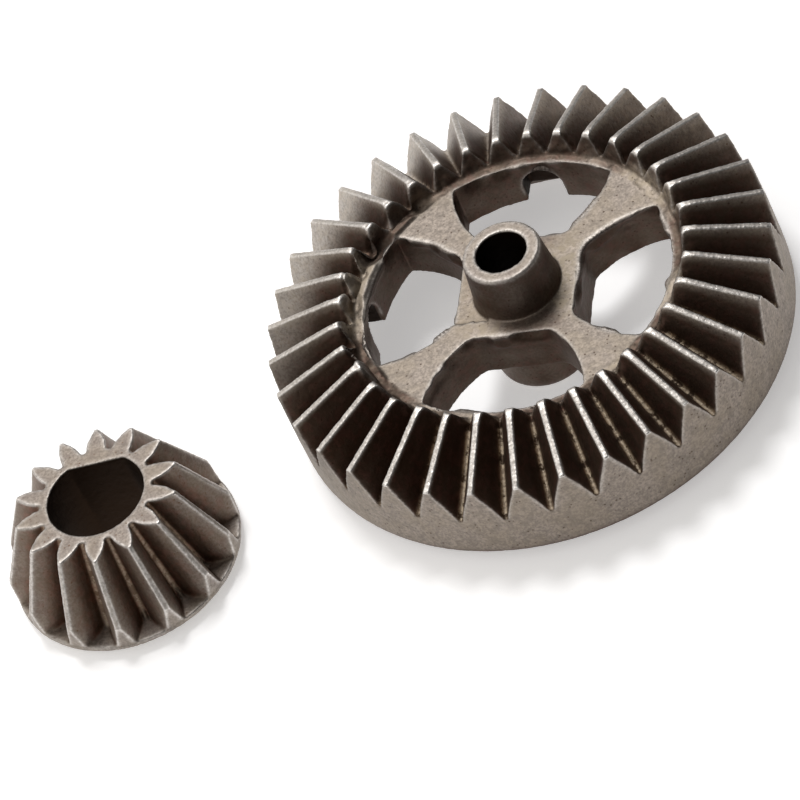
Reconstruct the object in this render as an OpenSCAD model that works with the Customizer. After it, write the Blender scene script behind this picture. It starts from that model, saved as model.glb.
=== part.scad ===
// Straight bevel gear pair: a spoked ring gear and its pinion, lying flat side by side, small ends up.
// Origin: on the ring gear's axis, on the surface that both gears lie on. +Z up, millimetres.

/* [Teeth] */
// Teeth on the ring gear
ring_teeth = 35; // [30:1:40]
// Teeth on the pinion
pinion_teeth = 14; // [12:1:16]
// Module at the large ends, mm
gear_module = 0.75; // [0.7:0.01:0.8]
// Pressure angle, degrees
pressure_angle = 25; // [22:0.5:27]
// Pinion tooth thickness at the pitch cone, as a share of the pitch
pinion_share = 0.56; // [0.52:0.005:0.58]
// Gap left between meshing flanks, mm
backlash = 0.06; // [0.02:0.01:0.12]
// Extra width cut from each flank of the ring gear at its crest, mm
tip_relief = 0.16; // [0:0.01:0.18]
// How far the spaces of the ring gear close in at their bottoms, as a share
ring_fillet = 0.36; // [0:0.02:0.6]
// How far the spaces of the pinion close in at their bottoms, as a share
pinion_fillet = 0.36; // [0:0.02:0.4]

/* [Ring gear] */
// Outside radius of the ring gear
ring_r = 13.39; // [13.2:0.01:13.5]
// Radius where the tooth crests end at the toe
ring_toe_r = 9; // [8.9:0.05:9.4]
// Radius of the inner wall of the rim
ring_bore_wall_r = 8; // [7.8:0.05:8.4]
// Height of the tooth crests at the heel above the surface below
crest_z = 5.4; // [5.2:0.05:5.6]
// Rise of the crests from heel to toe
crest_rise = 1.35; // [1.1:0.05:1.4]
// Height of the top face of the web
web_top_z = 5.38; // [5.2:0.02:5.4]
// Distance over which the crests curl down at the toe
toe_run = 0.9; // [0.8:0.1:1.4]
// How far the crests curl down at the toe
toe_drop = 0.3; // [0.2:0.05:0.55]
// Height of the bottom face of the web
web_bottom_z = 2.7; // [2.4:0.1:3.2]
// Height of the foot of the rim
rim_foot_z = 0.42; // [0.3:0.02:1.2]
// Direction of the first spoke, degrees
spoke_angle = 20; // [10:1:30]
// Spoke width at its neck
spoke_neck_w = 1.45; // [1.2:0.05:2]
// Spoke width where it meets the rim
spoke_root_w = 4.1; // [3:0.1:5]
// Distance from the axis to the flats of the hub
hub_flat = 3.2; // [3:0.05:3.6]
// Width of the shallow groove in one side of the hub
hub_groove_w = 4.1; // [3.6:0.1:4.6]
// Depth of the shallow groove in one side of the hub
hub_groove_depth = 0.2; // [0.1:0.05:0.5]
// Radius of the upper boss at its top
boss_top_r = 2.1; // [2:0.05:2.3]
// Radius of the upper boss at its foot
boss_foot_r = 2.35; // [2.3:0.05:2.8]
// Height of the top of the upper boss
boss_top_z = 8.1; // [7.6:0.1:8.6]
// Radius of the lower boss
lower_boss_r = 2.6; // [2.4:0.05:3]
// Radius of the bore through the ring gear
ring_bore_r = 1.32; // [1.2:0.01:1.4]
// Width of the arched notches in the rim's inner wall
notch_w = 2.1; // [1.6:0.1:2.6]

/* [Pinion] */
// Distance of the pinion's axis from the ring gear's axis
pinion_distance = 23.81; // [22.5:0.01:25]
// Direction of the pinion from the ring gear, degrees past -X
pinion_bearing = 1.68; // [-2:0.01:3]
// Distance from the pitch apex to the small face
small_face_a = 9.2; // [9:0.05:9.6]
// Outside radius at the small face
small_tip_r = 4.4; // [4.2:0.01:4.5]
// Radius of the tooth bottoms at the small face
small_root_r = 3.03; // [2.9:0.01:3.2]
// Outside radius of the pinion
pinion_r = 6.1; // [5.9:0.01:6.2]
// Distance from the pitch apex to the walls that close the tooth spaces
end_wall_a = 14; // [13.9:0.01:14.05]
// Thickness of the rim below those walls
rim_t = 0.38; // [0.36:0.01:0.6]
// Height of the underside below the rim
foot_t = 0.37; // [0.36:0.01:0.6]
// Radius of the underside face
foot_r = 4.3; // [4:0.05:4.6]
// Radius of the D-shaped bore
pinion_bore_r = 2.58; // [2.5:0.01:2.65]
// Distance from the axis to the flat of the bore
bore_flat = 2.1; // [2:0.05:2.3]
// Direction of the flat, degrees
flat_angle = 73.6; // [60:0.1:90]
// Turn of the ring gear's first tooth, degrees
ring_phase = 4.03; // [0:0.01:10]

/* [Hidden] */
$fn = 96;
pitch_t = PI * gear_module;
ring_pitch_r = gear_module * ring_teeth / 2;
pinion_pitch_r = gear_module * pinion_teeth / 2;
cone_len = sqrt(ring_pitch_r * ring_pitch_r + pinion_pitch_r * pinion_pitch_r);
ring_delta = atan2(ring_pitch_r, pinion_pitch_r);
pinion_delta = 90 - ring_delta;
ratio = ring_teeth / pinion_teeth;

// Tip and root cones as angles from the axes; the gaps keep crests and tooth bottoms apart.
pinion_tip_delta = atan2(small_tip_r, small_face_a);
pinion_root_delta = atan2(small_root_r, small_face_a);
crest_gap = 0.17;
root_gap_deg = 1.65;
crest_drop = ring_r * tan(pinion_root_delta) + crest_gap;
apex_z = crest_z + crest_drop;
ring_tip_delta = atan2(ring_r, crest_drop);
ring_root_delta = 90 - pinion_tip_delta - root_gap_deg;

// Thickness of each tooth at its pitch circle.
pinion_tooth_t = pitch_t * pinion_share - backlash / 2;
ring_tooth_t = pitch_t * (1 - pinion_share) - backlash / 2;

// The pinion stands with its underside at zero; its pitch apex is above it.
pinion_top_z = end_wall_a + rim_t + foot_t - small_face_a;
pinion_apex_z = pinion_top_z + small_face_a;
pinion_az = 180 + pinion_bearing;
tip_slope = small_tip_r / small_face_a;

// The tooth space of the ring gear nearest to the pinion, and the pinion tooth that fits it.
ring_pitch_deg = 360 / ring_teeth;
near_space = ring_phase + ring_pitch_deg
    * (floor((pinion_az - ring_phase) / ring_pitch_deg) + 0.5);
pinion_phase = pinion_bearing - (near_space - pinion_az) * ratio;

// Narrowest half crest, in degrees, and the rounding of the rim's lower edge.
half_crest_deg = 0.4;
rim_edge = 0.44;

// Where the spokes start to widen, and the notches' top height and depth.
spoke_flare_s = 3.8;
notch_top_z = 4.75;
notch_depth = 1.9;
spoke_mid = spoke_angle + 45;

function inv_deg(a) = tan(a) * 180 / PI - a;

// Half of a tooth's width at height h above the pitch cone, degrees around the equivalent spur gear.
function tooth_half(rv, t, h) =
    let (
        base = rv * cos(pressure_angle),
        r = max(rv + h, base + 0.001),
        a = acos(base / r)
    )
    t / (2 * rv) * 180 / PI + inv_deg(pressure_angle) - inv_deg(a);

// Half of a tooth space's width, degrees around the gear's own axis.
function space_half(n, delta, t, h) =
    180 / n - tooth_half(cone_len * tan(delta), t, h) / cos(delta);

// One side of a tooth space as [angle from the gear's axis, half width], bottom to top. The space
// closes in towards its bottom by the share fillet, and relief degrees are cut away at the tip.
function space_side(n, delta, t, low, tip, high, steps, fillet, relief) = [
    for (i = [0 : steps])
        let (
            d = low + (high - low) * i / steps,
            h = cone_len * tan(d - delta),
            v = max(0, (d - delta) / (tip - delta)),
            w = space_half(n, delta, t, h) * (1 - fillet * pow(1 - i / steps, 8)) + relief * v * v
        )
        [d, min(w, 180 / n - half_crest_deg)]
];

// Both sides, as one closed outline.
function space_outline(side) = concat(side, [
    for (i = [len(side) - 1 : -1 : 0]) [side[i][0], -side[i][1]]
]);

// The direction from the apex of a point of the outline, apex up, the space centred on +X.
function ray(p) = [sin(p[0]) * cos(p[1]), sin(p[0]) * sin(p[1]), -cos(p[0])];

// A tooth space: every edge runs to the apex at the origin, with flat ends.
module tooth_space(outline, axis, near, far) {
    n = len(outline);
    rays = [for (p = outline) ray(p)];
    near_pts = [for (r = rays) r * near / (r * axis)];
    far_pts = [for (r = rays) r * far / (r * axis)];
    polyhedron(
        points = concat(near_pts, far_pts),
        faces = concat(
            [[for (i = [0 : n - 1]) i]],
            [[for (i = [0 : n - 1]) 2 * n - 1 - i]],
            [for (i = [0 : n - 1]) [(i + 1) % n, i, n + i, n + (i + 1) % n]]
        )
    );
}

// Section of the ring gear's rim, before the teeth are cut.
module rim_section() {
    slope = crest_rise / (ring_r - ring_toe_r);
    toe_arc = [
        for (a = [90 : -15 : 0])
            let (r = ring_toe_r + toe_run * (1 - sin(a)))
            [r, crest_z + slope * (ring_r - r) - toe_drop * (1 - cos(a))]
    ];
    polygon(concat(
        [
            [ring_bore_wall_r, web_bottom_z],
            [ring_bore_wall_r, web_top_z - 0.15],
            [ring_bore_wall_r + 0.15, web_top_z],
            [ring_toe_r - 0.35, web_top_z + 0.02]
        ],
        toe_arc,
        [
            [ring_r, crest_z],
            [ring_r, rim_foot_z + rim_edge],
            [ring_r - 0.3 * rim_edge, rim_foot_z + 0.3 * rim_edge],
            [ring_r - rim_edge, rim_foot_z],
            [ring_r - 2, rim_foot_z],
            [ring_r - 3.2, web_bottom_z]
        ]
    ));
}

module ring_spaces() {
    side = space_side(ring_teeth, ring_delta, ring_tooth_t,
        ring_root_delta, ring_tip_delta, ring_tip_delta + 5, 6,
        ring_fillet, tip_relief / ring_pitch_r * 180 / PI);
    outline = space_outline(side);
    for (i = [0 : ring_teeth - 1])
        rotate([0, 0, ring_phase + (i + 0.5) * ring_pitch_deg])
            translate([0, 0, apex_z])
                tooth_space(outline, [1, 0, 0], ring_toe_r - 0.75, ring_r + 0.5);
}

// Half of a spoke's width at distance s from the axis.
function spoke_half(s) =
    let (u = max(0, (s - spoke_flare_s) / (ring_bore_wall_r - spoke_flare_s)))
    spoke_neck_w / 2 + (spoke_root_w - spoke_neck_w) / 2 * pow(u, 2.5);

// One side of an opening, from the hub's flat to the rim, along the spoke at 45 degrees.
function opening_side(steps) =
    let (s0 = hub_flat * sqrt(2) - spoke_neck_w / 2)
    [
        for (i = [0 : steps])
            let (s = s0 + 0.25 + (ring_bore_wall_r - s0 - 0.35) * i / steps, w = spoke_half(s))
            [(s + w) * cos(45), (s - w) * sin(45)]
    ];

// Opening between two spokes, centred on +X.
module opening_outline() {
    side = opening_side(10);
    n = len(side) - 1;
    last = side[n];
    a1 = atan2(last[1], last[0]) - 0.4;
    corner = side[0][1] - 0.35;
    wall_r = ring_bore_wall_r + 0.12;
    arc = [for (i = [0 : 16]) let (a = a1 * (1 - i / 8)) wall_r * [cos(a), sin(a)]];
    back = [for (i = [n : -1 : 0]) [side[i][0], -side[i][1]]];
    polygon(concat([[hub_flat, corner]], side, arc, back, [[hub_flat, -corner]]));
}

module web() {
    difference() {
        translate([0, 0, web_bottom_z])
            cylinder(r = ring_bore_wall_r + 0.2, h = web_top_z - web_bottom_z);
        rotate([0, 0, spoke_mid])
            translate([-hub_groove_w / 2, 0, web_top_z - hub_groove_depth])
                cube([hub_groove_w, 5, 1]);
    }
}

module openings() {
    for (k = [0 : 3])
        rotate([0, 0, spoke_mid + 90 * k])
            translate([0, 0, web_bottom_z - 1])
                linear_extrude(height = 4)
                    opening_outline();
}

module bosses() {
    rotate_extrude()
        polygon([
            [0, 0],
            [lower_boss_r - 0.55, 0],
            [lower_boss_r - 0.16, 0.16],
            [lower_boss_r, 0.55],
            [lower_boss_r, web_bottom_z + 0.5],
            [boss_foot_r, web_bottom_z + 0.5],
            [boss_foot_r, web_top_z - 0.2],
            [boss_top_r, boss_top_z - 0.15],
            [boss_top_r - 0.12, boss_top_z],
            [0, boss_top_z]
        ]);
}

// Arched notch in the underside of the rim's inner wall, going outwards from an opening.
module rim_notch() {
    arch_z = notch_top_z - notch_w / 2;
    translate([ring_bore_wall_r - 0.6, 0, arch_z])
        rotate([0, 90, 0])
            cylinder(d = notch_w, h = notch_depth);
    translate([ring_bore_wall_r - 0.6, -notch_w / 2, rim_foot_z - 1])
        cube([notch_depth, notch_w, arch_z - rim_foot_z + 1]);
}

module ring_gear() {
    color([0.55, 0.51, 0.47])
        difference() {
            union() {
                rotate_extrude() rim_section();
                web();
                bosses();
            }
            openings();
            ring_spaces();
            for (k = [0 : 3])
                rotate([0, 0, spoke_mid + 90 * k])
                    rim_notch();
            translate([0, 0, -1])
                cylinder(r = ring_bore_r, h = boss_top_z + 2);
        }
}

// Section of the pinion before its teeth are cut; heights from its underside.
module pinion_section() {
    polygon([
        [0, 0],
        [foot_r, 0],
        [foot_r, foot_t - 0.35],
        [pinion_r - 0.5, foot_t - 0.1],
        [pinion_r, foot_t + 0.06],
        [pinion_r, pinion_apex_z - pinion_r / tip_slope],
        [small_tip_r, pinion_top_z],
        [0, pinion_top_z]
    ]);
}

module pinion_spaces() {
    side = space_side(pinion_teeth, pinion_delta, pinion_tooth_t,
        pinion_root_delta, pinion_tip_delta, pinion_tip_delta + 4, 7,
        pinion_fillet, 0);
    outline = space_outline(side);
    for (i = [0 : pinion_teeth - 1])
        rotate([0, 0, (i + 0.5) * 360 / pinion_teeth])
            tooth_space(outline, [0, 0, -1], small_face_a - 0.5, end_wall_a);
}

module d_bore() {
    difference() {
        cylinder(r = pinion_bore_r, h = pinion_top_z + 2);
        rotate([0, 0, flat_angle - pinion_phase])
            translate([bore_flat, -pinion_bore_r, -1])
                cube([pinion_bore_r, 2 * pinion_bore_r, pinion_top_z + 4]);
    }
}

module pinion_gear() {
    color([0.57, 0.53, 0.49])
        rotate([0, 0, pinion_az])
            translate([pinion_distance, 0, 0])
                rotate([0, 0, pinion_phase - pinion_az])
                    difference() {
                        rotate([0, 0, 180 / pinion_teeth])
                            rotate_extrude() pinion_section();
                        translate([0, 0, pinion_apex_z]) pinion_spaces();
                        translate([0, 0, -1]) d_bore();
                    }
}

ring_gear();
pinion_gear();
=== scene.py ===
"""A straight bevel gear pair of sintered steel, lying flat: a spoked ring gear and its pinion."""

import math

import bpy
import numpy as np
from mathutils import Matrix, Vector


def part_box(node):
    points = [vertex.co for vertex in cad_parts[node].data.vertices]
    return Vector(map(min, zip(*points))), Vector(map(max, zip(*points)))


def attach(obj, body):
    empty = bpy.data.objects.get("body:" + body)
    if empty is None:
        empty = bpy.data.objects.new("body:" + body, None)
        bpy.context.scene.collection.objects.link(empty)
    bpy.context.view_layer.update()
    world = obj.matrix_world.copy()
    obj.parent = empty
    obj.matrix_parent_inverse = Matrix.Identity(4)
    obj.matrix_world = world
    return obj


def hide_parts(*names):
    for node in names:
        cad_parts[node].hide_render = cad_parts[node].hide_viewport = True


MM = 0.001
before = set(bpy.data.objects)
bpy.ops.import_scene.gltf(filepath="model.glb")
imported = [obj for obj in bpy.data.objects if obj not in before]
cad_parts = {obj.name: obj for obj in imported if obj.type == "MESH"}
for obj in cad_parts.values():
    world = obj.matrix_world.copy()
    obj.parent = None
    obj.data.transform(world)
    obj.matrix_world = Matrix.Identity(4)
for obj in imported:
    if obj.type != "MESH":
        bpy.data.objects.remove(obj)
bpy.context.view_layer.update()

# Measures in millimetres, as in the CAD model. All tooth edges of a gear run to its apex.
RING_TEETH = 35
RING_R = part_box("ring_gear")[1].x / MM
RING_APEX_Z = 9.98
RING_ROOT_SLOPE = 0.514
RING_TOE_R = 9.0
RING_WALL_R = 8.0
CREST_Z = 5.4
CREST_SLOPE = 0.3075
TOE_RUN = 0.9
TOE_DROP = 0.3
WEB_Z = 5.38
BOSS_R = 2.6
BOSS_TOP_Z = 8.1
RING_BORE_R = 1.32
PINION_TEETH = 14
PINION_TOP_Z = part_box("pinion_gear")[1].z / MM
PINION_APEX_UP = 9.2
PINION_APEX_Z = PINION_TOP_Z + PINION_APEX_UP
PINION_TIP_SLOPE = 4.4 / PINION_APEX_UP
PINION_ROOT_SLOPE = 3.03 / PINION_APEX_UP
PINION_R = 6.1
PINION_WALL_Z = 0.75
PINION_BORE_R = 2.58
PINION_AXIS = [(low + high) / 2 / MM for low, high in zip(*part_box("pinion_gear"))][:2]

# The skin: its mesh size, the sizes of its uneven features and how far each kind lifts it.
VOXEL = 0.065
COARSE, COARSE_LIFT = 0.9, 0.007
FINE, FINE_LIFT = 0.26, 0.006
GRIT, GRIT_LIFT = 0.13, 0.006
PATCH = 2.4
CHIP_DEPTH = 0.035
SKIN_SINK = 0.012
MOST_LIFT = 0.16
# How far a point stands off its smoothed surroundings on level faces, on bends and on edges.
LEVEL_BEND, CLEAR_BEND, EDGE_BEND = 0.006, 0.02, 0.03

# Where the ring gear's tooth flanks are cleanest and carry painted light, and fairly bare at their
# outer ends, where they are darkest with brown and painted shade, where pale lines show along the
# bottoms of the spaces, and where the land is roughest.
CLEAN_LIT_SIDE = math.radians(124)
FAIR_SIDE = math.radians(43)
DIRTY_SHADED_SIDE = math.radians(240)
LINED_SIDE = math.radians(275)
ROUGH_SIDE = math.radians(150)

# Colours of the steel where it isn't stained, and of the deposits, rubbed edges and painted
# highlights on it.
RING_GREY = (0.300, 0.257, 0.221)
RING_BROWN = (0.066, 0.037, 0.023)
PINION_GREY = (0.286, 0.250, 0.220)
PINION_BROWN = (0.135, 0.076, 0.043)
TAN = (0.46, 0.385, 0.29)
BRIGHT = (0.84, 0.81, 0.78)


# --- Mesh work, in millimetres -------------------------------------------------------------


def remeshed(node, voxel):
    """A CAD node's shape after an even remesh, in millimetres."""
    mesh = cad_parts[node].data.copy()
    mesh.transform(Matrix.Scale(1 / MM, 4))
    rough = bpy.data.objects.new("rough", mesh)
    bpy.context.collection.objects.link(rough)
    remesh = rough.modifiers.new("remesh", "REMESH")
    remesh.mode = "VOXEL"
    remesh.voxel_size = voxel
    graph = bpy.context.evaluated_depsgraph_get()
    even = bpy.data.meshes.new_from_object(rough.evaluated_get(graph))
    bpy.data.objects.remove(rough)
    even.materials.clear()
    return even


def points_of(mesh):
    points = np.empty(len(mesh.vertices) * 3)
    mesh.vertices.foreach_get("co", points)
    return points.reshape(-1, 3)


def normals_of(mesh):
    normals = np.empty(len(mesh.vertices) * 3, np.float32)
    mesh.vertex_normals.foreach_get("vector", normals)
    return normals.reshape(-1, 3)


class Neighbours:
    """Averages values over each point's neighbours along the mesh's edges."""

    def __init__(self, mesh):
        ends = np.empty(len(mesh.edges) * 2, np.int64)
        mesh.edges.foreach_get("vertices", ends)
        self.a, self.b = ends[0::2], ends[1::2]
        self.count = len(mesh.vertices)
        self.degree = np.maximum(np.bincount(ends, minlength=self.count), 1)

    def mean(self, values):
        total = np.bincount(self.a, values[self.b], self.count)
        total += np.bincount(self.b, values[self.a], self.count)
        return total / self.degree

    def mean3(self, points):
        return np.stack([self.mean(points[:, i]) for i in range(3)], 1)

    def spread(self, values, times):
        for _ in range(times):
            values = 0.5 * values + 0.5 * self.mean(values)
        return values


def relax(points, near, times):
    """Rounds sharp edges without shrinking the whole, as pressing and sintering leave them."""
    inward, back = 0.6, 0.42
    for _ in range(times):
        points = points + inward * (near.mean3(points) - points)
        points = points - back * (near.mean3(points) - points)
    return points


def even_out(points, normals, near, times):
    """Levels the faces and leaves the edges and corners as they are."""
    bend = np.abs(curvature(points, normals, near))
    share = 0.7 * (1 - soft_step(bend, LEVEL_BEND, CLEAR_BEND))
    for _ in range(times):
        points = points + share[:, None] * (near.mean3(points) - points)
    return points


def lattice_noise(points, size, seed):
    """Smooth noise from -1 to 1 with features of about that size."""
    cells = 32
    grid = np.random.RandomState(seed).uniform(-1, 1, (cells, cells, cells))
    where = points / size
    cell = np.floor(where).astype(np.int64)
    part = where - cell
    part = part * part * (3 - 2 * part)
    total = np.zeros(len(points))
    for corner in range(8):
        step = np.array([corner & 1, corner >> 1 & 1, corner >> 2 & 1])
        share = np.prod(np.where(step, part, 1 - part), 1)
        at = (cell + step) % cells
        total += share * grid[at[:, 0], at[:, 1], at[:, 2]]
    return total


def curvature(points, normals, near):
    """How far points stand off their smoothed surroundings: positive on outside edges."""
    smooth = points
    for _ in range(6):
        smooth = near.mean3(smooth)
    return near.spread(np.sum((points - smooth) * normals, 1), 2)


def soft_step(values, low, high):
    t = np.clip((values - low) / (high - low), 0, 1)
    return t * t * (3 - 2 * t)


def hump(values, centre, width):
    return np.exp(-(((values - centre) / width) ** 2))


def store(mesh, name, values):
    layer = mesh.attributes.new(name, "FLOAT", "POINT")
    layer.data.foreach_set("value", np.clip(values, 0, 1).astype(np.float32))


class Gear:
    """Points of a toothed piece around its own axis, with its normals, outside edges and noises."""

    def __init__(self, points, normals, bend, axis, teeth):
        self.points, self.normals = points, normals
        self.x, self.y = points[:, 0] - axis[0], points[:, 1] - axis[1]
        self.z = points[:, 2]
        self.r = np.hypot(self.x, self.y)
        self.angle = np.arctan2(self.y, self.x)
        self.teeth = teeth
        self.outside = np.clip(bend / EDGE_BEND, 0, 1)

    def roughen(self, seed):
        """Draws the noises that the piece's look and skin are made of."""
        self.coarse = lattice_noise(self.points, COARSE, seed)
        self.fine = lattice_noise(self.points, FINE, seed + 1)
        self.grit = lattice_noise(self.points, GRIT, seed + 2)
        self.patch = soft_step(lattice_noise(self.points, PATCH, seed + 3), -0.15, 0.45)

    def skin(self, lift):
        """How far each point moves outwards: uneven all over and chipped along the edges."""
        chips = self.outside * np.clip(self.fine + 0.25, 0, 1)
        skin = COARSE_LIFT * self.coarse + FINE_LIFT * self.fine + GRIT_LIFT * self.grit
        return np.minimum(skin - CHIP_DEPTH * chips + lift - SKIN_SINK, MOST_LIFT)

    def towards(self, side, low, high):
        """1 on that side of the gear and 0 away from it, by the cosine of the angle between."""
        return soft_step(np.cos(self.angle - side), low, high)

    def from_space(self, chosen):
        """Distance round the axis from the middle of the nearest tooth space, in millimetres.

        The chosen points, all on the teeth at some height, show where the spaces are.
        """
        turn = np.exp(-1j * self.teeth * self.angle[chosen])
        phase = np.angle(np.sum((self.r[chosen] - self.r[chosen].mean()) * turn))
        cycles = (self.teeth * self.angle + phase - math.pi) / (2 * math.pi)
        return (cycles - np.round(cycles)) * 2 * math.pi / self.teeth * self.r


def sintered_piece(name, node, body, axis, teeth, look, seed):
    """The node's shape with rounded edges and an uneven skin, and as masks its stains, its rubbed
    crests and edges, painted shade and painted highlights.
    """
    mesh = remeshed(node, VOXEL)
    near = Neighbours(mesh)
    points = relax(points_of(mesh), near, times=3)
    mesh.vertices.foreach_set("co", points.ravel())
    mesh.update()
    points = even_out(points, normals_of(mesh), near, times=10)
    mesh.vertices.foreach_set("co", points.ravel())
    mesh.update()
    normals = normals_of(mesh)
    gear = Gear(points, normals, curvature(points, normals, near), axis, teeth)
    gear.roughen(seed)
    lift, masks = look(gear)
    for mask, values in masks.items():
        store(mesh, mask, values)
    points = points + normals * gear.skin(lift)[:, None]
    mesh.vertices.foreach_set("co", (points * MM).ravel())
    mesh.polygons.foreach_set("use_smooth", np.ones(len(mesh.polygons), bool))
    mesh.update()
    mesh.name = name
    piece = bpy.data.objects.new(name, mesh)
    bpy.context.collection.objects.link(piece)
    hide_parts(node)
    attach(piece, body)
    return piece


def crest_height(r):
    """Height of the ring gear's crests, which curl down at the toe."""
    turn = np.arcsin(np.clip(1 - (r - RING_TOE_R) / TOE_RUN, 0, 1))
    return CREST_Z + CREST_SLOPE * (RING_R - r) - TOE_DROP * (1 - np.cos(turn))


def ring_teeth(gear):
    """The ring gear's teeth, their crests, the depth in the spaces and the spaces' bottom lines."""
    r, z = gear.r, gear.z
    crest_z = crest_height(r)
    root_z = RING_APEX_Z - r * RING_ROOT_SLOPE
    toothed = soft_step(r, RING_TOE_R - 0.1, RING_TOE_R + 0.1)
    heel = soft_step(r, RING_R - 0.14, RING_R - 0.05)
    crest = toothed * soft_step(z - crest_z, -0.09, -0.04)
    depth = toothed * (1 - heel) * np.clip((crest_z - z) / (crest_z - root_z), 0, 1)
    near_heel = (r > 12) & (z > 3.8) & (z < 5.2)
    root = toothed * (1 - heel) * hump(gear.from_space(near_heel), 0, 0.12)
    root *= soft_step(z - root_z, -0.2, -0.1) * (1 - soft_step(z - root_z, 0.1, 0.3))
    root *= soft_step(r, RING_TOE_R + 0.1, RING_TOE_R + 0.4)
    root *= 0.3 + 0.7 * gear.towards(LINED_SIDE, 0.3, 0.8)
    return toothed, crest, depth, root


def ring_land(gear):
    """The narrow land between the ring gear's openings and teeth."""
    land = soft_step(gear.r, RING_WALL_R + 0.05, RING_WALL_R + 0.3)
    land *= 1 - soft_step(gear.r, RING_TOE_R, RING_TOE_R + 0.3)
    return land * soft_step(gear.z, WEB_Z - 0.2, WEB_Z)


def ring_toes(gear):
    """The inner ends of the ring gear's teeth, below the crests."""
    r, z = gear.r, gear.z
    toe = soft_step(r, RING_TOE_R - 0.35, RING_TOE_R - 0.15)
    toe *= 1 - soft_step(r, RING_TOE_R + 0.2, RING_TOE_R + 0.7)
    return toe * soft_step(z, WEB_Z - 0.1, WEB_Z) * soft_step(crest_height(r) - z, 0.25, 0.7)


def ring_walls(gear):
    """The walls of the ring gear's openings, and the sides of its two bosses."""
    r, level = gear.r, np.abs(gear.normals[:, 2])
    wall = (1 - soft_step(r, RING_WALL_R + 0.3, RING_WALL_R + 0.5)) * (r > BOSS_R + 0.3)
    wall *= 1 - soft_step(level, 0.35, 0.7)
    boss = (1 - soft_step(level, 0.5, 0.8)) * (r < BOSS_R + 0.2) * (gear.z < BOSS_TOP_Z - 0.1)
    return wall, boss


def ring_bore_notch_shade(gear):
    """Painted shade: the ring gear's bore and the notches below its land, painted almost black."""
    r, z = gear.r, gear.z
    bore = (1 - soft_step(r, RING_BORE_R + 0.02, RING_BORE_R + 0.08)) * (z < BOSS_TOP_Z - 0.12)
    notch = (r > RING_WALL_R + 0.3) * (r < RING_TOE_R + 1) * (z < WEB_Z - 0.5)
    return np.maximum(bore, notch)


def ring_underside_shade(gear):
    """Painted shade on the ring gear's downward faces and around the foot of its rim."""
    under = soft_step(-gear.normals[:, 2], 0.3, 0.6) * (gear.z > 1)
    foot = (1 - soft_step(gear.z, 0.4, 1.1)) * (gear.r > BOSS_R + 1)
    return np.maximum(0.95 * under, 0.85 * foot)


def ring_look(gear):
    """Worn crests with painted highlights, dark spaces, painted light and painted shade, a mottled
    tan land and dark walls on the ring gear.
    """
    r, z, patch = gear.r, gear.z, gear.patch
    uneven = np.clip(gear.coarse, -1, 1)
    toothed, crest, depth, root = ring_teeth(gear)
    wall, boss = ring_walls(gear)
    land = ring_land(gear)
    boss_top = soft_step(z, BOSS_TOP_Z - 0.25, BOSS_TOP_Z - 0.15)
    hub = soft_step(gear.normals[:, 2], 0.8, 0.95) * (z < WEB_Z + 0.2) * hump(r, 2.9, 1.1)
    dirty_hub = 0.2 + 0.8 * soft_step(gear.x, -2.6, -1.4)
    # Painted light: the upper-left teeth get less brown, more tan and brighter edges, as if lit;
    # they are less stained too.
    clean_and_lit = gear.towards(CLEAN_LIT_SIDE, 0.5, 1.0) * soft_step(r, 10.2, 13)
    fair = gear.towards(FAIR_SIDE, 0.8, 0.96) * soft_step(r, 9.2, 12)
    clear = toothed * np.maximum(clean_and_lit, 0.55 * fair)

    # Painted shade: on the front-left the brown climbs to the crests, darkening flanks that face
    # away from the light.
    dirty_and_shaded = gear.towards(DIRTY_SHADED_SIDE, 0.2, 0.8)
    space_darkening = soft_step(depth, 0.0, 0.34 - 0.24 * dirty_and_shaded) * (0.9 + 0.08 * dirty_and_shaded)
    brown_share = np.maximum.reduce([
        space_darkening,
        (0.82 + 0.16 * uneven) * wall,
        (0.74 + 0.2 * uneven) * boss,
        0.14 * (1 + uneven) * boss_top,
        0.75 * land * (1 - patch),
        0.55 * hub * (1 - patch) * dirty_hub,
        # Painted shade under the ring and along the foot of its rim.
        ring_underside_shade(gear),
    ])
    brown_share *= 1 - 0.82 * clear

    toe_end = crest * (1 - soft_step(r, RING_TOE_R + 0.5, RING_TOE_R + 1.3))
    # Rubbed bright metal on crests, toe ends and edges, with painted highlights along them, and
    # painted light on the upper-left teeth.
    wear_and_highlight = np.maximum.reduce([
        crest * (0.15 + 0.85 * gear.outside),
        0.55 * toe_end,
        0.45 * toothed * clean_and_lit,
        0.3 * gear.outside * soft_step(z, 3.0, 3.4),
        boss_top * (0.05 + 0.5 * gear.outside),
    ])
    tan = np.maximum.reduce([
        0.8 * land * patch,
        ring_toes(gear) * (0.5 + 0.5 * patch),
        hub * np.maximum(patch, 1 - dirty_hub),
        0.9 * clear,
    ])
    masks = {"brown_share": brown_share, "painted_hollow_shade": ring_bore_notch_shade(gear), "wear_and_highlight": wear_and_highlight, "root": root, "tan": tan}
    return ring_flash(gear, land, wall), masks


def ring_flash(gear, land, wall):
    """Lift of the ragged land and of the uneven upper edges around the openings."""
    coarse, ragged = gear.coarse, gear.patch - 0.5
    rough = gear.towards(ROUGH_SIDE, 0.5, 0.95)
    upper_edge = soft_step(gear.z, WEB_Z - 1.2, WEB_Z - 0.3)
    on_land = (0.07 + 0.24 * rough) * coarse + 0.03 * gear.fine + 0.06 * ragged
    on_wall = 0.03 * coarse + upper_edge * (0.28 * coarse + 0.18 * ragged)
    return land * on_land + wall * on_wall


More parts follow.
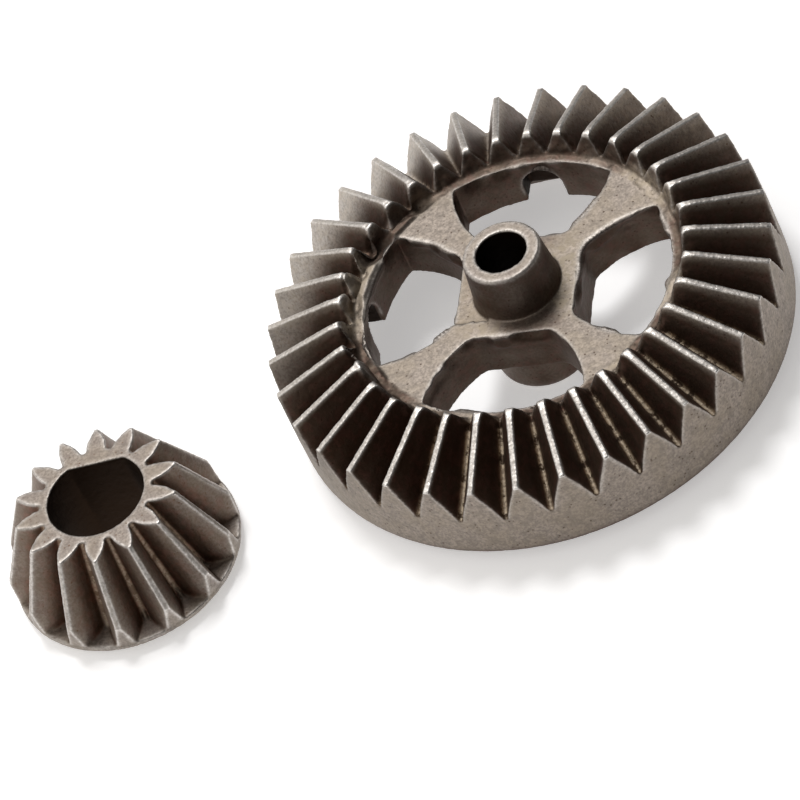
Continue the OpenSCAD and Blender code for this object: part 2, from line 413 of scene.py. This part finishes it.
def pinion_look(gear):
    """Worn crests and edges with painted highlights, dark spaces, tan burrs by the end walls and
    painted shade in the bore on the pinion.
    """
    r, z = gear.r, gear.z
    down = PINION_APEX_Z - z
    tip_r = np.minimum(down * PINION_TIP_SLOPE, PINION_R)
    root_r = down * PINION_ROOT_SLOPE
    below_top = 1 - soft_step(z, PINION_TOP_Z - 0.12, PINION_TOP_Z - 0.03)
    top_face = soft_step(z, PINION_TOP_Z - 0.06, PINION_TOP_Z - 0.02)
    toothed = soft_step(z, PINION_WALL_Z - 0.05, PINION_WALL_Z + 0.05)
    toothed *= soft_step(r, PINION_BORE_R + 0.12, PINION_BORE_R + 0.32)
    crest = toothed * soft_step(r - tip_r, -0.12, -0.05)
    depth = toothed * below_top * np.clip((tip_r - r) / (tip_r - root_r), 0, 1)
    halfway_up = (z > 3) & (z < 4) & (r > 2.9)
    centre = hump(gear.from_space(halfway_up), 0, 0.1)
    root = toothed * below_top * centre * (1 - soft_step(r - root_r, 0.1, 0.3))
    burr = centre * hump(r - root_r, 0.0, 0.28) * hump(z - PINION_WALL_Z, 0.05, 0.28)
    # Painted shade: the bore is painted nearly black.
    bore = (1 - soft_step(r, PINION_BORE_R + 0.02, PINION_BORE_R + 0.08)) * below_top

    uneven = np.clip(gear.coarse, -1, 1)
    space_darkening = toothed * below_top * soft_step(depth, -0.2, 0.65) * (0.86 + 0.14 * uneven)
    brown_share = np.maximum(space_darkening, 0.1 * top_face) * (1 - 0.8 * burr)
    # Rubbed bright metal on crests and edges, with painted highlights along them.
    wear_and_highlight = np.maximum(crest * (0.1 + 0.8 * gear.outside), gear.outside * (0.3 + 0.3 * toothed))
    masks = {"brown_share": brown_share, "painted_hollow_shade": bore, "wear_and_highlight": wear_and_highlight, "root": 0.4 * root, "tan": burr}
    return 0.16 * burr * (1 + gear.coarse), masks


# --- Material ------------------------------------------------------------------------------


class Nodes:
    """Short calls for building a node tree."""

    def __init__(self, name):
        self.material = bpy.data.materials.new(name)
        self.material.use_nodes = True
        self.tree = self.material.node_tree
        self.shader = self.tree.nodes["Principled BSDF"]
        self.place = self.add("ShaderNodeTexCoord").outputs["Object"]

    def add(self, kind, **settings):
        node = self.tree.nodes.new(kind)
        for key, value in settings.items():
            setattr(node, key, value)
        return node

    def link(self, start, end):
        self.tree.links.new(start, end)

    def attribute(self, name):
        return self.add("ShaderNodeAttribute", attribute_name=name).outputs["Fac"]

    def noise(self, size, detail, rough=0.55):
        """Noise with features of about that size in millimetres."""
        node = self.add("ShaderNodeTexNoise")
        node.inputs["Scale"].default_value = 1 / (size * MM)
        node.inputs["Detail"].default_value = detail
        node.inputs["Roughness"].default_value = rough
        self.link(self.place, node.inputs["Vector"])
        return node.outputs["Fac"]

    def dots(self, spacing):
        """Distance from scattered points that far apart in millimetres, in spacings."""
        node = self.add("ShaderNodeTexVoronoi")
        node.inputs["Scale"].default_value = 1 / (spacing * MM)
        self.link(self.place, node.inputs["Vector"])
        return node.outputs["Distance"]

    def ramp(self, value, low, high, start=0.0, end=1.0):
        node = self.add("ShaderNodeMapRange", interpolation_type="SMOOTHSTEP")
        self.link(value, node.inputs["Value"])
        node.inputs["From Min"].default_value = low
        node.inputs["From Max"].default_value = high
        node.inputs["To Min"].default_value = start
        node.inputs["To Max"].default_value = end
        return node.outputs["Result"]

    def maths(self, operation, a, b):
        node = self.add("ShaderNodeMath", operation=operation)
        for socket, value in zip(node.inputs, (a, b)):
            if isinstance(value, (int, float)):
                socket.default_value = value
            else:
                self.link(value, socket)
        return node.outputs["Value"]

    def mix(self, share, a, b):
        node = self.add("ShaderNodeMix", data_type="RGBA")
        self.link(share, node.inputs["Factor"])
        # The colour sockets come after those for numbers and vectors.
        first, second, result = node.inputs[6], node.inputs[7], node.outputs[2]
        for socket, value in ((first, a), (second, b)):
            if isinstance(value, tuple):
                socket.default_value = (*value, 1.0)
            else:
                self.link(value, socket)
        return result


def scaled(colour, share):
    return tuple(part * share for part in colour)


def bare_steel(n, grey, grain, mottle, blotch):
    """Finely grained grey with faint tan blotches and darker mottling."""
    skin = n.mix(n.ramp(grain, 0.36, 0.64), scaled(grey, 0.78), scaled(grey, 1.20))
    skin = n.mix(n.ramp(blotch, 0.38, 0.64, 0.0, 0.38), skin, scaled(TAN, 0.62))
    return n.mix(n.ramp(mottle, 0.46, 0.62, 0.0, 0.4), skin, scaled(grey, 0.62))


def browned(n, skin, brown, mottle, blotch, pits):
    """Brown and rust where the brown share mask asks, covering stains and painted shade, and brown
    specks all over.
    """
    rust = (brown[0] * 1.45, brown[1] * 1.25, brown[2] * 1.4)
    share = n.maths("MULTIPLY", n.attribute("brown_share"), n.ramp(blotch, 0.3, 0.7, 1.0, 0.93))
    skin = n.mix(share, skin, n.mix(n.ramp(mottle, 0.45, 0.62), brown, rust))
    specks = n.maths("MULTIPLY", n.ramp(pits, 0.12, 0.24, 0.7, 0.0), n.ramp(mottle, 0.46, 0.54))
    return n.mix(specks, skin, brown)


def add_relief(n, grain, pits):
    """A shallow bump of grain and pits."""
    pit_depth = n.ramp(pits, 0.08, 0.2, 0.4, 0.0)
    bump = n.add("ShaderNodeBump")
    bump.inputs["Strength"].default_value = 0.5
    bump.inputs["Distance"].default_value = 0.03 * MM
    n.link(n.maths("SUBTRACT", n.maths("MULTIPLY", grain, 0.8), pit_depth), bump.inputs["Height"])
    n.link(bump.outputs["Normal"], n.shader.inputs["Normal"])


def sintered_steel(name, grey, brown):
    """Pressed steel: grey, brown in the spaces, with tan deposits, pale lines, rubbed crests with
    painted highlights and painted shade.
    """
    n = Nodes(name)
    blotch = n.noise(1.6, 3.0)
    mottle = n.noise(0.45, 3.0, 0.6)
    grain = n.noise(0.15, 4.0, 0.65)
    pits = n.dots(0.30)
    deposit = n.maths("MULTIPLY", n.attribute("tan"), n.ramp(mottle, 0.42, 0.62, 0.15, 0.9))
    line = n.maths("MULTIPLY", n.attribute("root"), n.ramp(mottle, 0.40, 0.48, 0.1, 1.0))
    line = n.maths("MULTIPLY", line, n.ramp(grain, 0.40, 0.56, 0.5, 1.0))
    worn_and_highlight = n.maths("MULTIPLY", n.attribute("wear_and_highlight"), n.ramp(grain, 0.36, 0.58, 0.6, 1.0))

    skin = n.mix(deposit, bare_steel(n, grey, grain, mottle, blotch), TAN)
    skin = browned(n, skin, brown, mottle, blotch, pits)
    skin = n.mix(line, skin, scaled(TAN, 1.6))
    # Rubbed metal and painted highlights in a pale colour.
    skin = n.mix(worn_and_highlight, skin, BRIGHT)
    # Painted shade: bores and notches go nearly black.
    skin = n.mix(n.attribute("painted_hollow_shade"), skin, scaled(brown, 0.35))
    n.link(skin, n.shader.inputs["Base Color"])

    smooth = n.maths("MAXIMUM", worn_and_highlight, line)
    n.link(n.ramp(smooth, 0.0, 1.0, 0.56, 0.38), n.shader.inputs["Roughness"])
    dusty = n.maths("MAXIMUM", deposit, line)
    n.link(n.ramp(dusty, 0.0, 0.9, 0.92, 0.25), n.shader.inputs["Metallic"])
    n.shader.inputs["Specular IOR Level"].default_value = 0.2
    add_relief(n, grain, pits)
    return n.material


# --- Studio --------------------------------------------------------------------------------


def make_floor(half, z):
    """A plain pale sheet under both gears that glows a little; its measures are in metres."""
    corners = [(-half, -half, z), (half, -half, z), (half, half, z), (-half, half, z)]
    mesh = bpy.data.meshes.new("floor")
    mesh.from_pydata(corners, [], [(0, 1, 2, 3)])
    floor = bpy.data.objects.new("floor", mesh)
    bpy.context.collection.objects.link(floor)
    n = Nodes("floor_white")
    n.shader.inputs["Base Color"].default_value = (0.90, 0.90, 0.905, 1)
    n.shader.inputs["Roughness"].default_value = 1.0
    n.shader.inputs["Specular IOR Level"].default_value = 0.0
    n.shader.inputs["Emission Color"].default_value = (1, 0.99, 0.985, 1)
    n.shader.inputs["Emission Strength"].default_value = 0.43
    mesh.materials.append(n.material)


def make_surround(bright_way, dim, full):
    """A warm studio that is bright on one side and dim on the other."""
    world = bpy.data.worlds.new("surround")
    world.use_nodes = True
    tree = world.node_tree
    background = tree.nodes["Background"]
    background.inputs["Color"].default_value = (1, 0.968, 0.925, 1)
    way = tree.nodes.new("ShaderNodeTexCoord")
    facing = tree.nodes.new("ShaderNodeVectorMath")
    facing.operation = "DOT_PRODUCT"
    facing.inputs[1].default_value = Vector(bright_way).normalized()
    level = tree.nodes.new("ShaderNodeMapRange")
    level.interpolation_type = "SMOOTHSTEP"
    level.inputs["From Min"].default_value = 0.0
    level.inputs["From Max"].default_value = 0.9
    level.inputs["To Min"].default_value = dim
    level.inputs["To Max"].default_value = full
    tree.links.new(way.outputs["Generated"], facing.inputs[0])
    tree.links.new(facing.outputs["Value"], level.inputs["Value"])
    tree.links.new(level.outputs["Result"], background.inputs["Strength"])
    bpy.context.scene.world = world


def make_lamp(name, place, size, watts):
    """A square soft lamp that faces the gears; place and size in millimetres."""
    data = bpy.data.lights.new(name, "AREA")
    data.size = size * MM
    data.energy = watts
    lamp = bpy.data.objects.new(name, data)
    lamp.location = Vector(place) * MM
    aim = Vector((-6, 0, 0)) * MM - lamp.location
    lamp.rotation_euler = aim.to_track_quat("-Z", "Y").to_euler()
    bpy.context.collection.objects.link(lamp)


def make_camera():
    """A long lens looking down at about 46 degrees, rolled so that the gears climb to the right."""
    data = bpy.data.cameras.new("camera")
    data.sensor_width = 36.0
    data.lens = 303.4
    data.clip_start, data.clip_end = 0.01, 10.0
    camera = bpy.data.objects.new("camera", data)
    bpy.context.collection.objects.link(camera)
    aim = Vector((-7.94, 1.44, 0.0)) * MM
    place = Vector((0.0, -238.41, 249.14)) * MM
    roll = math.radians(26.85)
    facing = (aim - place).to_track_quat("-Z", "Y").to_matrix().to_4x4()
    camera.matrix_world = Matrix.Translation(place) @ facing @ Matrix.Rotation(-roll, 4, "Z")
    bpy.context.scene.camera = camera


bpy.context.scene.view_settings.view_transform = "Standard"
make_floor(half=2.0, z=-0.02 * MM)
make_surround(bright_way=(-0.88, 0.15, 0.45), dim=0.01, full=0.85)
make_lamp("key", place=(-5, 170, 350), size=130, watts=0.82)
make_camera()

ring = sintered_piece(
    "ring_gear_skin", "ring_gear", "ring",
    (0, 0), RING_TEETH, ring_look, seed=3,
)
ring.data.materials.append(sintered_steel("ring_sintered_steel", RING_GREY, RING_BROWN))
pinion = sintered_piece(
    "pinion_skin", "pinion_gear", "pinion",
    PINION_AXIS, PINION_TEETH, pinion_look, seed=8,
)
pinion.data.materials.append(sintered_steel("pinion_sintered_steel", PINION_GREY, PINION_BROWN))
